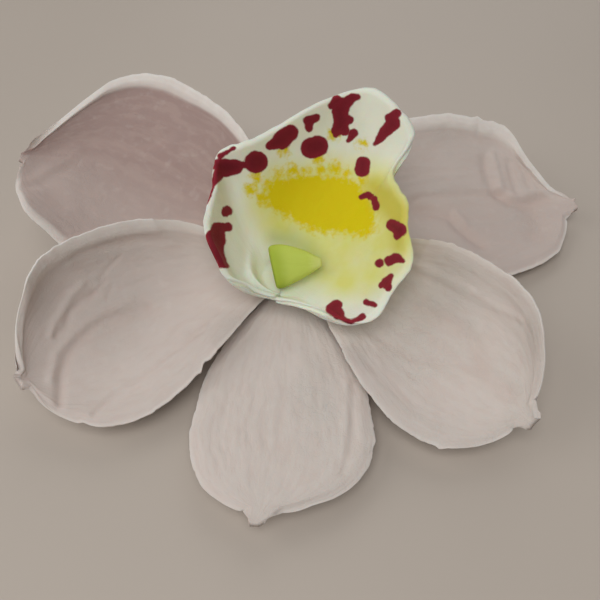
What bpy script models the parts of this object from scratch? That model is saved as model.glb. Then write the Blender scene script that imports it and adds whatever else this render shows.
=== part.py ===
"""A cymbidium orchid bloom modelled in sugar paste, lying on its back.

Metres, +Z up. The origin is on the surface that the bloom lies on, under the point where the petals meet.
The dorsal sepal points along -Y, and the lip opens upwards between the two lateral sepals.
"""

import bpy
import numpy as np

MM = 0.001

# Paste thickness, and the gaps between the layers of paste at the centre
PETAL_THICKNESS = 1.5 * MM
LIP_THICKNESS = 1.3 * MM
PAD_GAP = 0.3 * MM
LAYER_GAP = 0.8 * MM
LIP_GAP = 1.7 * MM

# Receptacle: the small pad of paste that holds the petals together
PAD_RADIUS = 10.0 * MM
PAD_HEIGHT = 2.5 * MM
PAD_CENTRE = (0.0, -3.0 * MM)
PAD_EDGE_ROUNDING = 0.8 * MM
PAD_SIDES = 40

# Heights of the upper faces of the two petal layers at the centre
SEPAL_LAYER = PAD_HEIGHT + PAD_GAP + PETAL_THICKNESS
PETAL_LAYER = SEPAL_LAYER + LAYER_GAP + PETAL_THICKNESS

# Petal outline: a narrow claw, a broad blade and a beak at the tip
CLAW_START = 4.5 * MM
CLAW_HALF_WIDTH = 4.2 * MM
BEAK_TIP_HALF_WIDTH = 0.8 * MM
BEAK_SHARE = 0.13
BEAK_EASE = 0.12
BEAK_BLEND = 3
BLADE_END = 0.95
BLADE_BLUNTNESS = 2.8
CLAW_EASE = 1.15
BEND_EASE = 0.3
CUP_EASE = 0.35
LEAST_CUP = 0.001
BEAK_BEND_FROM = 0.75
RIM_LIFT_FROM = 0.72
RIM_LIFT_FADE = 0.14
TIP_LIFT_FROM = 0.85
PETAL_LENGTH_CELLS = 26
PETAL_WIDTH_CELLS = 14
AXIS_STEPS = 60

# Each petal: length and half-width, where along its length it is widest, and its bends in degrees.
# heading and rise are given at the claw, halfway and at the tip; roll at the claw and at the tip.
# cup is how far the left and right sides turn up. rim_lift is the further rise in millimetres of the
# left rim, the right rim and the tip. beak is the half-width of the beak's root and its lean to the left.
PETALS = {
    "dorsal_sepal": dict(
        length=53.4, half_width=16.7, widest=0.59, layer=SEPAL_LAYER,
        heading=(-97.5, -92.5, -94), rise=(0, 1.5, 2.5), roll=(0, 0), cup=(0, 3),
        rim_lift=(0.4, 0.5, 0.3), beak=(5.5, -4.0),
    ),
    "lateral_sepal_left": dict(
        length=63.8, half_width=23.9, widest=0.57, layer=SEPAL_LAYER,
        heading=(139.5, 156.9, 164.3), rise=(17.6, 16.4, 27.7), roll=(-44.5, -7), cup=(26.7, 24.1),
        rim_lift=(0.6, 1, 0.6), beak=(10.9, 8.6),
    ),
    "lateral_sepal_right": dict(
        length=69.7, half_width=21.4, widest=0.49, layer=SEPAL_LAYER,
        heading=(49.5, 9.8, 19.5), rise=(28, -7.6, 12.9), roll=(12.7, 11.6), cup=(39.3, 14.2),
        rim_lift=(1, 0.6, 0.8), beak=(10.6, -7.8),
    ),
    "petal_left": dict(
        length=58.4, half_width=21.3, widest=0.59, layer=PETAL_LAYER,
        heading=(-164.6, -150.5, -136.7), rise=(11.9, -4.5, 27.1), roll=(1.2, -21.7), cup=(38, 88.8),
        rim_lift=(0.3, 1.5, 0.8), beak=(6.5, 1.8),
    ),
    "petal_right": dict(
        length=56.1, half_width=18.8, widest=0.57, layer=PETAL_LAYER,
        heading=(-28.4, -45.8, -52.8), rise=(13.1, -3.6, 16.1), roll=(-1.5, 27.7), cup=(74.8, 42),
        rim_lift=(1, 0.3, 0.6), beak=(5.6, 0.7),
    ),
}

# Lip: a sheet from a small floor under the column up to a ruffled rim, slit towards the dorsal sepal.
# Rim points in millimetres, from the slit's left edge round by the left, the tip and the right.
LIP_FOOT = (-2.6 * MM, -5.5 * MM)
LIP_FOOT_RADII = (4.3 * MM, 5.0 * MM)
LIP_FOOT_SPREAD = 0.8 * MM
LIP_FOOT_HEIGHT = PETAL_LAYER + LIP_GAP + LIP_THICKNESS
LIP_FOOT_FROM = 262.0
LIP_FOOT_TO = -90.0
LIP_FLOOR_SHARE = 0.1
LIP_FLOOR_HOLE = 0.28
LIP_RIM = (
    (-3.9, -12.4, 12.4), (-9.0, -12.6, 15.6), (-13.2, -12.0, 19.6), (-16.1, -6.7, 24.0), (-15.7, 3.5, 28.0),
    (-13.6, 10.5, 31.0), (-5.5, 12.5, 33.0), (6.0, 19.0, 36.0), (17.5, 20.0, 38.0), (24.0, 12.0, 34.0),
    (20.5, 5.0, 27.5), (22.0, -5.0, 27.0), (21.3, -14.0, 23.5), (17.0, -19.8, 18.0), (10.6, -22.2, 15.3),
    (4.0, -16.4, 13.0), (-3.2, -12.9, 11.6),
)
LIP_BELLY = 0.11
LIP_BELLY_DROP = 0.35
LIP_RUFFLE = 0.7 * MM
LIP_RUFFLES = 11
LIP_FOLD = 1.6 * MM
LIP_FOLD_AT = (0.15, 0.15)
LIP_FOLD_SIZE = (0.11, 0.07)
LIP_ROUND_CELLS = 72
LIP_UP_CELLS = 18

# Column: a flattened cone of paste that lies in the lip's foot with its tip to the right
COLUMN_PATH = (
    (-4.7, -7.0, 13.9), (-2.2, -6.5, 14.0), (0.6, -6.4, 14.2), (3.2, -6.5, 14.5), (5.8, -6.8, 14.9),
)
COLUMN_RADII = (5.3, 5.0, 4.0, 2.7, 1.4)
COLUMN_FACING = (0, -0.62, 0.78)
COLUMN_FLATNESS = 0.66
COLUMN_ROUNDING = 0.16
COLUMN_SIDES = 20
COLUMN_RINGS = 18
COLUMN_STEP = 0.01
LEAST_RING = 1e-6

# Colours are linear RGB, with the finish of each paste
BLUSH_PASTE = (0.72, 0.56, 0.52)
LIP_PASTE = (0.74, 0.76, 0.62)
COLUMN_PASTE = (0.50, 0.62, 0.12)
PASTE_ROUGHNESS = 0.75


def clear_scene():
    for thing in list(bpy.data.objects):
        bpy.data.objects.remove(thing)


def new_collection(name):
    collection = bpy.data.collections.new(name)
    bpy.context.scene.collection.children.link(collection)
    return collection


def new_material(name, colour, roughness=PASTE_ROUGHNESS):
    material = bpy.data.materials.new(name)
    material.use_nodes = True
    shader = material.node_tree.nodes["Principled BSDF"]
    shader.inputs["Base Color"].default_value = (*colour, 1.0)
    shader.inputs["Roughness"].default_value = roughness
    shader.inputs["Metallic"].default_value = 0.0
    material.diffuse_color = (*colour, 1.0)
    return material


def finish(thing, collection, material):
    """Moves a new object from the active collection to its own, and gives it its material."""
    for owner in list(thing.users_collection):
        owner.objects.unlink(thing)
    collection.objects.link(thing)
    thing.data.materials.clear()
    thing.data.materials.append(material)
    thing.data.shade_smooth()


def through(values, s):
    """A smooth curve through three values, at the start, halfway and at the end."""
    start, middle, end = values
    return start * (1 - s) * (1 - 2 * s) + 4 * middle * s * (1 - s) + end * s * (2 * s - 1)


def smooth_step(x):
    x = np.clip(x, 0, 1)
    return x * x * (3 - 2 * x)


def smooth_path(points, u):
    """Points along a Catmull-Rom curve through the given points, for u from 0 to 1."""
    points = np.array(points, float)
    ends = np.concatenate([[2 * points[0] - points[1]], points, [2 * points[-1] - points[-2]]])
    place = np.clip(u, 0, 1) * (len(points) - 1)
    first = np.minimum(place.astype(int), len(points) - 2)
    f = (place - first)[:, None]
    before, start, end, after = (ends[first + k] for k in range(4))
    return 0.5 * (
        2 * start
        + (end - before) * f
        + (2 * before - 5 * start + 4 * end - after) * f**2
        + (3 * start - before - 3 * end + after) * f**3
    )


def blade_half_width(s, half_width, widest, beak_root):
    """Half the petal's width at s along its length: claw and blade, with the beak blended in."""
    widening = np.sin(np.clip(s / widest, 0, 1) * np.pi / 2) ** CLAW_EASE
    near = CLAW_HALF_WIDTH + (half_width - CLAW_HALF_WIDTH) * widening
    past = np.clip((s - widest) / (BLADE_END - widest), 0, 1)
    far = half_width * np.sqrt(1 - past**BLADE_BLUNTNESS)
    blade = np.where(s < widest, near, far)
    to_tip = np.clip((1 - s) / BEAK_SHARE, 0, 1)
    beak = BEAK_TIP_HALF_WIDTH + (beak_root - BEAK_TIP_HALF_WIDTH) * to_tip
    beak *= smooth_step((s - widest + BEAK_EASE) / (2 * BEAK_EASE))
    return (blade**BEAK_BLEND + beak**BEAK_BLEND) ** (1 / BEAK_BLEND)


def petal_axis(s, length, heading, rise, layer):
    """Points, directions and headings along the petal's curved middle line."""
    steps = np.linspace(0, 1, AXIS_STEPS + 1)
    mids = (steps[1:] + steps[:-1]) / 2

    def direction(at):
        turn = np.radians(through(heading, at))
        lift = np.radians(through(rise, at))
        return np.stack([np.cos(lift) * np.cos(turn), np.cos(lift) * np.sin(turn), np.sin(lift)], axis=-1)

    start_turn = np.radians(heading[0])
    start = np.array([CLAW_START * np.cos(start_turn), CLAW_START * np.sin(start_turn), layer])
    line = np.concatenate([[start], start + np.cumsum(direction(mids) * length / AXIS_STEPS, axis=0)])
    centre = np.stack([np.interp(s, steps, line[:, k]) for k in range(3)], axis=-1)
    return centre, direction(s), np.radians(through(heading, s))


def petal_points(s, t, length, half_width, widest, layer, heading, rise, roll, cup, rim_lift, beak):
    """The petal's upper face: s runs from claw to tip, and t from the right rim, -1, to the left, 1."""
    centre, ahead, turn = petal_axis(s, length * MM, heading, rise, layer)
    left = np.stack([-np.sin(turn), np.cos(turn), np.zeros_like(turn)], axis=-1)
    up = np.cross(ahead, left)
    rolled = np.radians(roll[0] + (roll[1] - roll[0]) * s) * smooth_step(s / BEND_EASE)
    side = left * np.cos(rolled)[:, None] + up * np.sin(rolled)[:, None]
    out = up * np.cos(rolled)[:, None] - left * np.sin(rolled)[:, None]
    width = blade_half_width(s, half_width * MM, widest, beak[0] * MM)
    turned = np.radians(np.where(t >= 0, cup[0], cup[1])) * np.clip(s / CUP_EASE, 0, 1)
    turned = np.where(np.abs(turned) < LEAST_CUP, LEAST_CUP, turned)
    across = np.sign(t) * width * np.sin(np.abs(t) * turned) / turned
    across += beak[1] * MM * np.clip((s - BEAK_BEND_FROM) / (1 - BEAK_BEND_FROM), 0, 1) ** 2
    height = width * (1 - np.cos(np.abs(t) * turned)) / turned
    to_rim = np.clip((np.abs(t) - RIM_LIFT_FROM) / (1 - RIM_LIFT_FROM), 0, 1)
    along = smooth_step(s / BEND_EASE) * smooth_step((1 - s) / RIM_LIFT_FADE)
    to_tip = np.clip((s - TIP_LIFT_FROM) / (1 - TIP_LIFT_FROM), 0, 1)
    height += MM * np.where(t >= 0, rim_lift[0], rim_lift[1]) * to_rim**2 * along
    height += MM * rim_lift[2] * to_tip**2
    return centre + side * across[:, None] + out * height[:, None]


def lip_points(u, v):
    """The lip's inner face: u runs round from the slit's left edge to its right, and v up to the rim."""
    inward = np.clip(1 - v / LIP_FLOOR_SHARE, 0, 1) * (1 - LIP_FLOOR_HOLE)
    v = np.clip((v - LIP_FLOOR_SHARE) / (1 - LIP_FLOOR_SHARE), 0, 1)
    round_foot = np.radians(LIP_FOOT_FROM + (LIP_FOOT_TO - LIP_FOOT_FROM) * u)
    spread = LIP_FOOT_SPREAD * u**2
    foot_x = LIP_FOOT[0] + (LIP_FOOT_RADII[0] + spread) * (1 - inward) * np.cos(round_foot)
    foot_y = LIP_FOOT[1] + (LIP_FOOT_RADII[1] + spread) * (1 - inward) * np.sin(round_foot)
    foot = np.stack([foot_x, foot_y, np.full_like(u, LIP_FOOT_HEIGHT)], axis=-1)
    reach = smooth_path(LIP_RIM, u) * MM - foot
    flat = np.hypot(reach[:, 0], reach[:, 1])
    length = np.linalg.norm(reach, axis=1)
    outward = np.stack([reach[:, 0] / flat, reach[:, 1] / flat, np.full_like(u, -LIP_BELLY_DROP)], axis=-1)
    belly = LIP_BELLY * length * np.sin(np.pi * v)
    ruffle = LIP_RUFFLE * v**3 * np.sin(2 * np.pi * LIP_RUFFLES * u) * np.sqrt(np.sin(np.pi * u))
    fold_u, fold_v = (u - LIP_FOLD_AT[0]) / LIP_FOLD_SIZE[0], (v - LIP_FOLD_AT[1]) / LIP_FOLD_SIZE[1]
    fold = LIP_FOLD * np.exp(-(fold_u**2) - fold_v**2)
    points = foot + reach * v[:, None] + outward * (belly + ruffle)[:, None]
    points[:, 2] += fold
    return points


def new_sheet(name, cells, shape, thickness, collection, material):
    """A grid bent by a rule and thickened below, cut into triangles alike on both faces."""
    bpy.ops.mesh.primitive_grid_add(x_subdivisions=cells[0], y_subdivisions=cells[1], size=2)
    sheet = bpy.context.object
    sheet.name = name
    flat = np.array([vertex.co for vertex in sheet.data.vertices])
    sheet.data.vertices.foreach_set("co", shape(flat[:, 0], flat[:, 1]).ravel())
    triangles = sheet.modifiers.new("triangles", "TRIANGULATE")
    triangles.quad_method = "FIXED"
    walls = sheet.modifiers.new("thickness", "SOLIDIFY")
    walls.thickness = thickness
    walls.offset = -1
    walls.use_even_offset = False
    finish(sheet, collection, material)
    return sheet


def new_petal(name, values, collection, material):
    def shape(x, y):
        return petal_points((x + 1) / 2, y, **values)

    cells = (PETAL_LENGTH_CELLS, PETAL_WIDTH_CELLS)
    return new_sheet(name, cells, shape, PETAL_THICKNESS, collection, material)


def new_lip(collection, material):
    def shape(x, y):
        return lip_points((x + 1) / 2, (y + 1) / 2)

    cells = (LIP_ROUND_CELLS, LIP_UP_CELLS)
    return new_sheet("lip", cells, shape, LIP_THICKNESS, collection, material)


def new_column(collection, material):
    """A sphere drawn out along the column's path, its rings swollen to the column's radii."""
    bpy.ops.mesh.primitive_uv_sphere_add(segments=COLUMN_SIDES, ring_count=COLUMN_RINGS, radius=1)
    column = bpy.context.object
    column.name = "column"
    ball = np.array([vertex.co for vertex in column.data.vertices])
    from_root = np.arccos(np.clip(-ball[:, 2], -1, 1)) / np.pi
    centre = smooth_path(COLUMN_PATH, from_root) * MM
    behind = smooth_path(COLUMN_PATH, from_root - COLUMN_STEP)
    ahead = smooth_path(COLUMN_PATH, from_root + COLUMN_STEP) - behind
    ahead /= np.linalg.norm(ahead, axis=1)[:, None]
    side = np.cross(ahead, COLUMN_FACING)
    side /= np.linalg.norm(side, axis=1)[:, None]
    back = np.cross(ahead, side)
    swell = np.interp(from_root, np.linspace(0, 1, len(COLUMN_RADII)), COLUMN_RADII) * MM
    round_off = np.sin(np.pi * from_root) ** COLUMN_ROUNDING
    ring = ball[:, :2] / np.maximum(np.hypot(ball[:, 0], ball[:, 1]), LEAST_RING)[:, None]
    across = side * ring[:, :1] + back * ring[:, 1:] * COLUMN_FLATNESS
    points = centre + across * (swell * round_off)[:, None]
    column.data.vertices.foreach_set("co", points.ravel())
    column.data.update()
    finish(column, collection, material)
    return column


def new_receptacle(collection, material):
    bpy.ops.mesh.primitive_cylinder_add(
        vertices=PAD_SIDES,
        radius=PAD_RADIUS,
        depth=PAD_HEIGHT,
        location=(*PAD_CENTRE, PAD_HEIGHT / 2),
    )
    pad = bpy.context.object
    pad.name = "receptacle"
    rounding = pad.modifiers.new("rounding", "BEVEL")
    rounding.width = PAD_EDGE_ROUNDING
    rounding.segments = 2
    rounding.limit_method = "ANGLE"
    finish(pad, collection, material)
    return pad


def build():
    clear_scene()
    bloom = new_collection("cymbidium_bloom")
    blush = new_material("blush_paste", BLUSH_PASTE)
    new_receptacle(bloom, blush)
    for name, values in PETALS.items():
        new_petal(name, values, bloom, blush)
    new_lip(bloom, new_material("lip_paste", LIP_PASTE))
    new_column(bloom, new_material("column_paste", COLUMN_PASTE))


build()
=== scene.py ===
"""Looks of a cymbidium orchid bloom modelled in sugar paste, lying on its back.

The petals, the lip and the column are built again over the frame's solids, with finer meshes, rounded rims,
veins and creases. A length with MM is in metres and one without it in millimetres, unless a comment says
otherwise. Angles are in degrees, and shares are of a petal's length or of half its width.
"""

import math

import bpy
import numpy as np
from mathutils import Matrix, Vector, noise


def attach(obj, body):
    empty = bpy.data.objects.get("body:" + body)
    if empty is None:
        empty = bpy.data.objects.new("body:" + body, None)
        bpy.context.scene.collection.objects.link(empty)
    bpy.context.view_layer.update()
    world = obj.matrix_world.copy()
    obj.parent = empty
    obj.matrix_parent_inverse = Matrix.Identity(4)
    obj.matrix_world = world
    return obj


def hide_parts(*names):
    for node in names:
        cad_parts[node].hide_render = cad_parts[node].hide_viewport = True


MM = 0.001

# The camera as it stood for the photograph, and the picture's width in pixels
CAMERA_AT = (1.0, -93.0, 112.0)
CAMERA_PITCH = 51.8
CAMERA_ROLL = 1.64
CAMERA_LENS = 37.2
SENSOR_WIDTH = 36.0
PICTURE = 600
CLIP_START = 10 * MM

# Paste thickness, and how high the sepals and the petals start at the centre
PETAL_THICKNESS = 1.5 * MM
LIP_THICKNESS = 1.3 * MM
SEPAL_LAYER = 4.3 * MM
PETAL_LAYER = 6.6 * MM

# Petal outline: a narrow claw, a broad blade and a beak at the tip
CLAW_START = 4.5 * MM
CLAW_HALF_WIDTH = 4.2
CLAW_EASE = 1.15
BLADE_BLUNTNESS = 2.8
BEAK_TIP_HALF_WIDTH = 0.8
BEAK_SHARE = 0.13
BEAK_EASE = 0.12
BEAK_BLEND = 2.6

# Where along a petal it bends and cups, its beak leans and opens, and its rims and tip lift
BEND_EASE = 0.3
CUP_EASE = 0.35
LEAST_CUP = 0.001
BEAK_BEND_FROM = 0.75
BEAK_OPENS_FROM = 0.86
BEAK_OPENING = 0.5
RIM_LIFT_FROM = 0.72
RIM_LIFT_FADE = 0.14
TIP_LIFT_FROM = 0.85

# Petal mesh: steps along the middle line, the step used to find which way it faces, its cells and crowding
AXIS_STEPS = 240
FACING_STEP = 0.004
PETAL_CELLS = (190, 116)
RIM_CROWDING = 0.7
TIP_CROWDING = 0.45

# Rims: the thin rounded edge, then the band inside it with a painted highlight, starting a little way out
# from the claw
# The very edge is paler paste, and the band's painted highlight grows with how high the band stands
RIM_THINNESS = 0.25
RIM_SHARE_OF_WIDTH = 0.4
RIM_TIP_FADE = 0.05
EDGE_BREADTH = 3.0 * MM
EDGE_WHITENESS = 0.4
EDGE_WHITE_FROM = 0.72
BAND_BREADTH_AT_CLAW = 0.45
BAND_GROWTH = 2
BAND_DELAY = 0.4
BAND_STEEPNESS = 1.5
BAND_HIGHLIGHT = 0.8
HIGHEST_RIDGE = 0.65 * MM
SIDE_EASE = 0.25

# Ragged rims: how far the paste is torn and nicked, and how far in from the rim the outline is moved for it
RAGGED_RIM = 0.22
RAGGED_SCALE = 30.0
RAGGED_FROM = 0.85
RAGGED_OVER = 0.15
FINER_TEARS = 3
NICK_DEPTH = 0.5
NICK_SCALE = 26.0
NICK_LEVEL = 0.45
DENT_FROM = 0.7
DENT_OVER = 0.3

# Petal surface: waves, veins, wrinkles and a midrib, and how far from the rims and the tip they fade
INLAND = 2.4 * MM
WAVE = 0.32
WAVE_SCALE = (3.6, 1.8)
VEIN = 0.1
VEIN_SCALE = (4.5, 9.0)
FINER_VEINS = 2.2
WRINKLE = 0.08
WRINKLE_SCALE = (26.0, 18.0)
VEINS_END = 0.25
MIDRIB = 0.12
MIDRIB_WIDTH = 1.3
MIDRIB_END = 1.2
CREASE_END = 1.5 * MM

# Seeds that set the noises apart: each petal's own, what each kind adds to it, and the lip's and column's
PETAL_SEEDS = (1.5, 12.5, 23.5, 34.5, 45.5)
FINER_TEAR_SEED = 2
NICK_SEED = 5
VEIN_SEED = 3
FINER_VEIN_SEED = 7
WRINKLE_SEED = 9
LIP_WAVE_SEED = 21.0
LIP_VEIN_SEED = 23.0
LIP_TEAR_SEED = 25.0
COLUMN_SEED = 31.0

# Each petal: length and half-width, where along its length it is widest, the height its claw starts at, and
# its bends. heading and rise are given at the claw, halfway and at the tip; roll at the claw and at the tip.
# cup is how far the left and right sides turn up. rim_lift is the further rise in millimetres of the
# left rim, the right rim and the tip. beak is the half-width of the beak's root and its lean to the left.
PETALS = {
    "dorsal_sepal": dict(
        length=53.4, half_width=16.7, widest=0.59, layer=SEPAL_LAYER,
        heading=(-97.5, -92.5, -94), rise=(0, 1.5, 2.5), roll=(0, 0), cup=(0, 3),
        rim_lift=(0.4, 0.5, 0.3), beak=(7.5, -4.0),
    ),
    "lateral_sepal_left": dict(
        length=63.8, half_width=23.9, widest=0.57, layer=SEPAL_LAYER,
        heading=(139.5, 156.9, 164.3), rise=(17.6, 16.4, 27.7), roll=(-44.5, -7), cup=(26.7, 24.1),
        rim_lift=(0.6, 1, 0.6), beak=(10.9, 8.6),
    ),
    "lateral_sepal_right": dict(
        length=69.7, half_width=21.4, widest=0.49, layer=SEPAL_LAYER,
        heading=(49.5, 9.8, 19.5), rise=(28, -7.6, 12.9), roll=(12.7, 11.6), cup=(39.3, 14.2),
        rim_lift=(1, 0.6, 0.8), beak=(11.0, -6.2),
    ),
    "petal_left": dict(
        length=58.4, half_width=21.3, widest=0.59, layer=PETAL_LAYER,
        heading=(-164.6, -150.5, -136.7), rise=(11.9, -4.5, 27.1), roll=(1.2, -21.7), cup=(32, 84),
        rim_lift=(0.3, 1.5, 0.8), beak=(7.5, 1.8),
    ),
    "petal_right": dict(
        length=56.1, half_width=18.8, widest=0.57, layer=PETAL_LAYER,
        heading=(-28.4, -45.8, -52.8), rise=(13.1, -3.6, 16.1), roll=(-1.5, 27.7), cup=(70, 35),
        rim_lift=(1, 0.3, 0.6), beak=(8.0, -1.4),
    ),
}

# Where along each petal its broad blade ends, short of the beak
BLADE_ENDS = {
    "dorsal_sepal": 0.945, "lateral_sepal_left": 0.98, "lateral_sepal_right": 0.945, "petal_left": 0.975,
    "petal_right": 0.955,
}

# Bumps and dents of single rims: side (1 is left, -1 right), place along the petal, then height (a dent is
# below zero) and half-length
DENTS = {
    "dorsal_sepal": ((1, 0.92, -0.7, 0.6), (1, 0.955, -0.5, 0.5)),
    "lateral_sepal_left": (),
    "lateral_sepal_right": (
        (1, 0.84, 1.7, 3.2), (1, 0.905, -1.2, 1.8), (1, 0.79, 0.5, 1.2), (1, 0.72, 0.6, 0.9),
        (-1, 0.9, -1.1, 3.5),
    ),
    "petal_left": ((1, 0.42, -0.7, 0.9), (1, 0.45, 0.4, 0.7), (1, 0.9, -0.5, 0.6)),
    "petal_right": ((1, 0.42, 0.5, 0.6), (-1, 0.85, 0.5, 0.6)),
}

# Each petal's rolled-back rims, left and right: how broad the band with its painted highlight is, and how
# high it stands
RIMS = {
    "dorsal_sepal": ((1.6, 0.05), (1.1, 0.0)),
    "lateral_sepal_left": ((2.6, 0.25), (3.8, 0.6)),
    "lateral_sepal_right": ((4.0, 0.65), (1.6, 0.05)),
    "petal_left": ((1.3, 0.0), (3.8, 0.55)),
    "petal_right": ((2.0, 0.12), (1.3, 0.0)),
}

# Share of painted pink shade on each petal, and how it fades towards the left rim and off the pale bands
PINK_SHADE_SHARE = {
    "dorsal_sepal": 0.0, "lateral_sepal_left": 1.0, "lateral_sepal_right": 0.36, "petal_left": 0.2,
    "petal_right": 0.03,
}
PINK_FADE = 0.4
PINK_FADES_FROM = -0.3
PINK_FADES_OVER = 0.8
PINK_OFF_BAND = 3

# Painted shade where the left petal lies on the left sepal, in the photograph: pixels across, pixels down and
# radius
CONTACT = ((66, 241, 1.5), (105, 229, 2), (135, 224, 2), (170, 223, 2), (205, 224, 1.5))
CONTACT_SOFTNESS = 4.0

# Creases by petal: height (a groove is below zero) and half-width, then points as shares along and across it
# Grooves below zero, and the midrib, are also darkened in colour with painted shade
CREASES = {
    "dorsal_sepal": (
        (-0.12, 0.35, ((0.34, 0.01), (0.41, 0.01), (0.48, 0.03))),
        (0.22, 1.0, ((0.46, 0.77), (0.56, 0.72), (0.65, 0.70), (0.75, 0.67))),
        (-0.25, 0.8, ((0.46, 0.87), (0.56, 0.82), (0.65, 0.77), (0.72, 0.74), (0.82, 0.77))),
        (-0.1, 1.2, ((0.72, 0.0), (0.81, 0.07), (0.89, 0.27))),
    ),
    "lateral_sepal_left": (
        (-0.25, 2.2, ((0.94, 0.6), (0.93, 0.04), (0.91, -0.21), (0.88, -0.25), (0.84, -0.23))),
        (-0.25, 1.6, (
            (0.84, -0.23), (0.78, -0.24), (0.72, -0.25), (0.68, -0.27), (0.63, -0.37), (0.59, -0.51),
        )),
        (0.25, 1.6, ((0.92, 0.56), (0.9, 0.31), (0.87, 0.15), (0.85, 0.02), (0.85, -0.08))),
        (-0.3, 2.0, ((0.92, 0.75), (0.9, 0.47), (0.87, 0.29), (0.85, 0.15), (0.84, 0.04))),
        (-0.3, 1.6, ((0.88, 0.54), (0.83, 0.6), (0.79, 0.65))),
        (0.12, 0.7, ((0.53, -0.29), (0.51, -0.33))),
        (-0.1, 0.6, ((0.53, -0.1), (0.47, -0.12), (0.41, -0.2))),
    ),
    "lateral_sepal_right": (
        (-0.5, 0.9, ((0.42, 0.05), (0.48, 0.1), (0.58, 0.11), (0.69, 0.12), (0.75, 0.11), (0.78, 0.09))),
        (-0.9, 1.7, ((0.78, 0.09), (0.8, 0.0), (0.83, -0.03), (0.87, -0.03), (0.91, 0.1))),
        (0.5, 1.4, ((0.77, 0.2), (0.79, 0.1), (0.83, 0.08), (0.88, 0.16), (0.92, 0.34))),
        (-0.5, 1.4, ((0.74, 0.56), (0.74, 0.39), (0.75, 0.24), (0.76, 0.14))),
        (0.32, 1.0, ((0.78, 0.63), (0.79, 0.41), (0.79, 0.21))),
        (-0.36, 0.9, ((0.84, 0.61), (0.84, 0.38), (0.84, 0.14))),
        (-0.32, 0.8, ((0.88, 0.75), (0.89, 0.56), (0.89, 0.33))),
        (-0.3, 0.8, ((0.91, 0.78), (0.91, 0.63), (0.92, 0.45))),
        (-0.55, 2.4, ((0.86, -0.18), (0.86, -0.43), (0.83, -0.62))),
        (-0.85, 1.8, (
            (0.43, -0.04), (0.5, -0.11), (0.56, -0.17), (0.58, -0.31), (0.61, -0.45), (0.64, -0.56),
        )),
        (0.35, 0.9, ((0.59, -0.12), (0.61, -0.28))),
        (-0.12, 0.5, ((0.41, -0.15), (0.48, -0.22), (0.53, -0.29))),
        (-0.12, 0.5, ((0.44, 0.25), (0.52, 0.28), (0.59, 0.28))),
    ),
    "petal_left": (
        (-0.6, 1.1, (
            (0.93, 0.7), (0.87, 0.16), (0.82, -0.01), (0.75, -0.1), (0.67, -0.15), (0.59, -0.13),
            (0.5, -0.08),
        )),
        (0.45, 1.0, ((0.91, 0.2), (0.85, -0.08), (0.78, -0.15), (0.71, -0.2), (0.64, -0.22), (0.54, -0.22))),
        (0.4, 0.8, ((0.84, -0.29), (0.81, -0.36), (0.77, -0.42), (0.71, -0.51), (0.66, -0.56))),
        (-0.4, 0.8, ((0.82, -0.25), (0.78, -0.27), (0.74, -0.37), (0.69, -0.41), (0.64, -0.43))),
        (-0.3, 0.7, (
            (0.86, 0.84), (0.76, 0.63), (0.68, 0.59), (0.59, 0.59), (0.51, 0.56), (0.44, 0.58), (0.36, 0.6),
        )),
        (-0.3, 1.1, ((0.4, 0.49), (0.34, 0.51), (0.27, 0.48))),
        (-0.35, 1.2, ((0.63, -0.86), (0.55, -0.84), (0.43, -0.83), (0.35, -0.8))),
        (-0.2, 0.45, ((0.66, -0.4), (0.62, -0.45), (0.58, -0.51))),
        (-0.2, 0.45, ((0.6, -0.53), (0.56, -0.6), (0.5, -0.68))),
        (-0.18, 0.4, ((0.61, -0.33), (0.57, -0.43))),
        (-0.15, 0.5, ((0.55, -0.36), (0.49, -0.36), (0.43, -0.36))),
        (-0.15, 0.5, ((0.5, -0.09), (0.41, -0.09), (0.34, -0.01))),
    ),
    "petal_right": (
        (0.26, 0.9, ((0.31, 0.7), (0.39, 0.65), (0.48, 0.65), (0.58, 0.66), (0.68, 0.68), (0.77, 0.78))),
        (-0.5, 1.7, (
            (0.43, 0.19), (0.51, 0.24), (0.58, 0.28), (0.67, 0.22), (0.72, 0.13), (0.8, 0.04), (0.88, 0.07),
        )),
        (-0.3, 1.1, ((0.38, -0.47), (0.47, -0.39), (0.56, -0.31), (0.63, -0.19), (0.7, -0.04), (0.75, 0.01))),
        (-0.12, 0.6, ((0.44, 0.26), (0.52, 0.21), (0.58, 0.15))),
    ),
}

# Lip: a sheet from a small floor under the column up to a ruffled rim, slit towards the dorsal sepal.
# Its rim's points run from the slit's left edge round by the left, the tip and the right.
LIP_FOOT = (-2.6 * MM, -5.5 * MM)
LIP_FOOT_RADII = (4.3 * MM, 5.0 * MM)
LIP_FOOT_SPREAD = 0.8 * MM
LIP_FOOT_HEIGHT = 9.6 * MM
LIP_FOOT_FROM = 262.0
LIP_FOOT_TO = -97.0
LIP_FLOOR_SHARE = 0.1
LIP_FLOOR_HOLE = 0.28
LIP_RIM = (
    (-3.9, -12.4, 12.4), (-9.0, -12.6, 15.6), (-13.2, -12.0, 19.6), (-16.1, -6.7, 24.0), (-15.7, 3.5, 28.0),
    (-13.6, 10.5, 31.0), (-5.5, 12.5, 33.0), (6.0, 19.0, 36.0), (17.5, 20.0, 38.0), (24.0, 12.0, 34.0),
    (20.5, 5.0, 27.5), (22.0, -5.0, 27.0), (21.3, -14.0, 23.5), (17.0, -19.8, 18.0), (10.6, -22.2, 15.3),
    (4.0, -16.4, 13.0), (-3.8, -12.7, 12.0),
)
LIP_BELLY = 0.11
LIP_BELLY_DROP = 0.35
LIP_RUFFLE = 0.7 * MM
LIP_RUFFLES = 11
LIP_FOLD = 1.6 * MM
LIP_FOLD_AT = (0.15, 0.15)
LIP_FOLD_SIZE = (0.11, 0.07)
LIP_CELLS = (320, 112)
LIP_RIM_BREADTH = 1.6 * MM
LIP_WAVE = 0.3
LIP_WAVE_SCALE = (16.0, 3.0)
LIP_WAVE_FULL_AT = 0.4
LIP_VEIN = 0.05
LIP_VEIN_SCALE = (60.0, 2.5)
LIP_VEIN_FULL_AT = 0.3

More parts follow.
